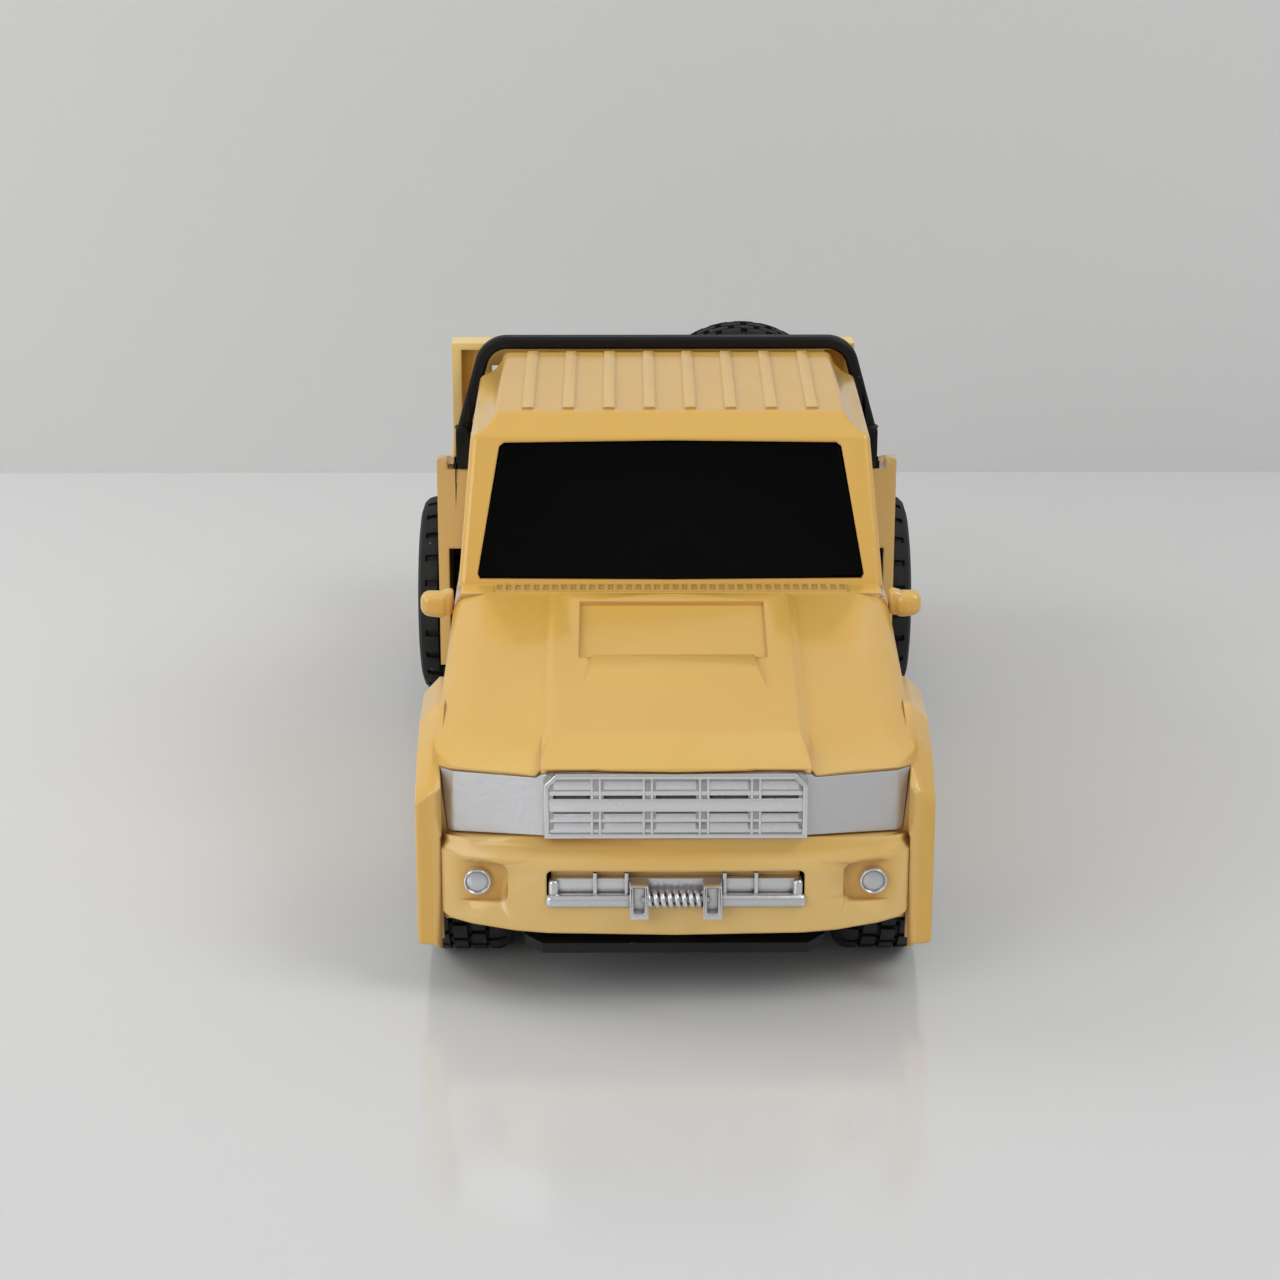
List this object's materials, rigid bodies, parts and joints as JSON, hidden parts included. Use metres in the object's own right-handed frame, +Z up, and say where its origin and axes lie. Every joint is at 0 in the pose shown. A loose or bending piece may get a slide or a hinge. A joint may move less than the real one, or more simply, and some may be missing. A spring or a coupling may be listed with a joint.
{
  "type": "toy tow truck",
  "caption": "Moulded toy pickup tow truck with rolling wheels, roll hoop, upright spare wheel, raising tow boom with a swinging hook, and a folding wheel lift.",
  "frame": {"origin": "on the ground under the middle of the overall box", "axes": "-Y is the front of the truck, +Z is up, +X is to the right seen from the front"},
  "size_m": [0.0922, 0.1994, 0.0768],
  "materials": {
    "yellow_plastic": "gloss moulded golden yellow",
    "black_plastic": "satin black",
    "window_black": "polished opaque black",
    "silver_trim": "satin vacuum-metallised plastic",
    "tyre": "matte black soft plastic",
    "wheel_silver": "satin vacuum-metallised plastic",
    "steel": "plated steel",
    "red_lamp": "gloss red"
  },
  "bodies": {
    "truck": {"cab_shell": "yellow_plastic", "front_bumper": "yellow_plastic", "mirror_left": "yellow_plastic", "mirror_right": "yellow_plastic", "tow_bed": "yellow_plastic", "gantry": "yellow_plastic", "window_insert": "window_black", "grille_insert": "silver_trim", "winch_trim": "silver_trim", "fog_lamp_left": "silver_trim", "fog_lamp_right": "silver_trim", "chassis": "black_plastic", "rear_bumper": "black_plastic", "roll_hoop": "black_plastic", "assembly_screws": "steel", "boom_pin": "steel", "lift_pin": "steel", "spare_bolt": "steel", "spare_tyre": "tyre", "spare_rim": "wheel_silver", "tail_lamp_left": "red_lamp", "tail_lamp_right": "red_lamp"},
    "front_wheels": {"axle_front": "steel", "tyre_front_left": "tyre", "tyre_front_right": "tyre", "rim_front_left": "wheel_silver", "rim_front_right": "wheel_silver"},
    "rear_wheels": {"axle_rear": "steel", "tyre_rear_left": "tyre", "tyre_rear_right": "tyre", "rim_rear_left": "wheel_silver", "rim_rear_right": "wheel_silver"},
    "boom": {"tow_boom": "yellow_plastic", "hook_pin": "steel"},
    "hook": {"tow_hook": "silver_trim"},
    "lift": {"wheel_lift": "black_plastic"}
  },
  "joints": [
    {"name": "front_axle_spin", "type": "hinge", "parent": "truck", "child": "front_wheels", "pos_m": [0, -0.0708, 0.0185], "axis": [1, 0, 0], "continuous": true},
    {"name": "rear_axle_spin", "type": "hinge", "parent": "truck", "child": "rear_wheels", "pos_m": [0, 0.0457, 0.0185], "axis": [1, 0, 0], "continuous": true},
    {"name": "boom_raise", "type": "hinge", "parent": "truck", "child": "boom", "pos_m": [0, 0.0447, 0.0475], "axis": [1, 0, 0], "range_deg": [0, 40]},
    {"name": "hook_swing", "type": "hinge", "parent": "boom", "child": "hook", "pos_m": [0, 0.0942, 0.053], "axis": [1, 0, 0], "range_deg": [-45, 60]},
    {"name": "lift_fold", "type": "hinge", "parent": "truck", "child": "lift", "pos_m": [0, 0.0953, 0.0122], "axis": [1, 0, 0], "range_deg": [-90, 0]}
  ]
}
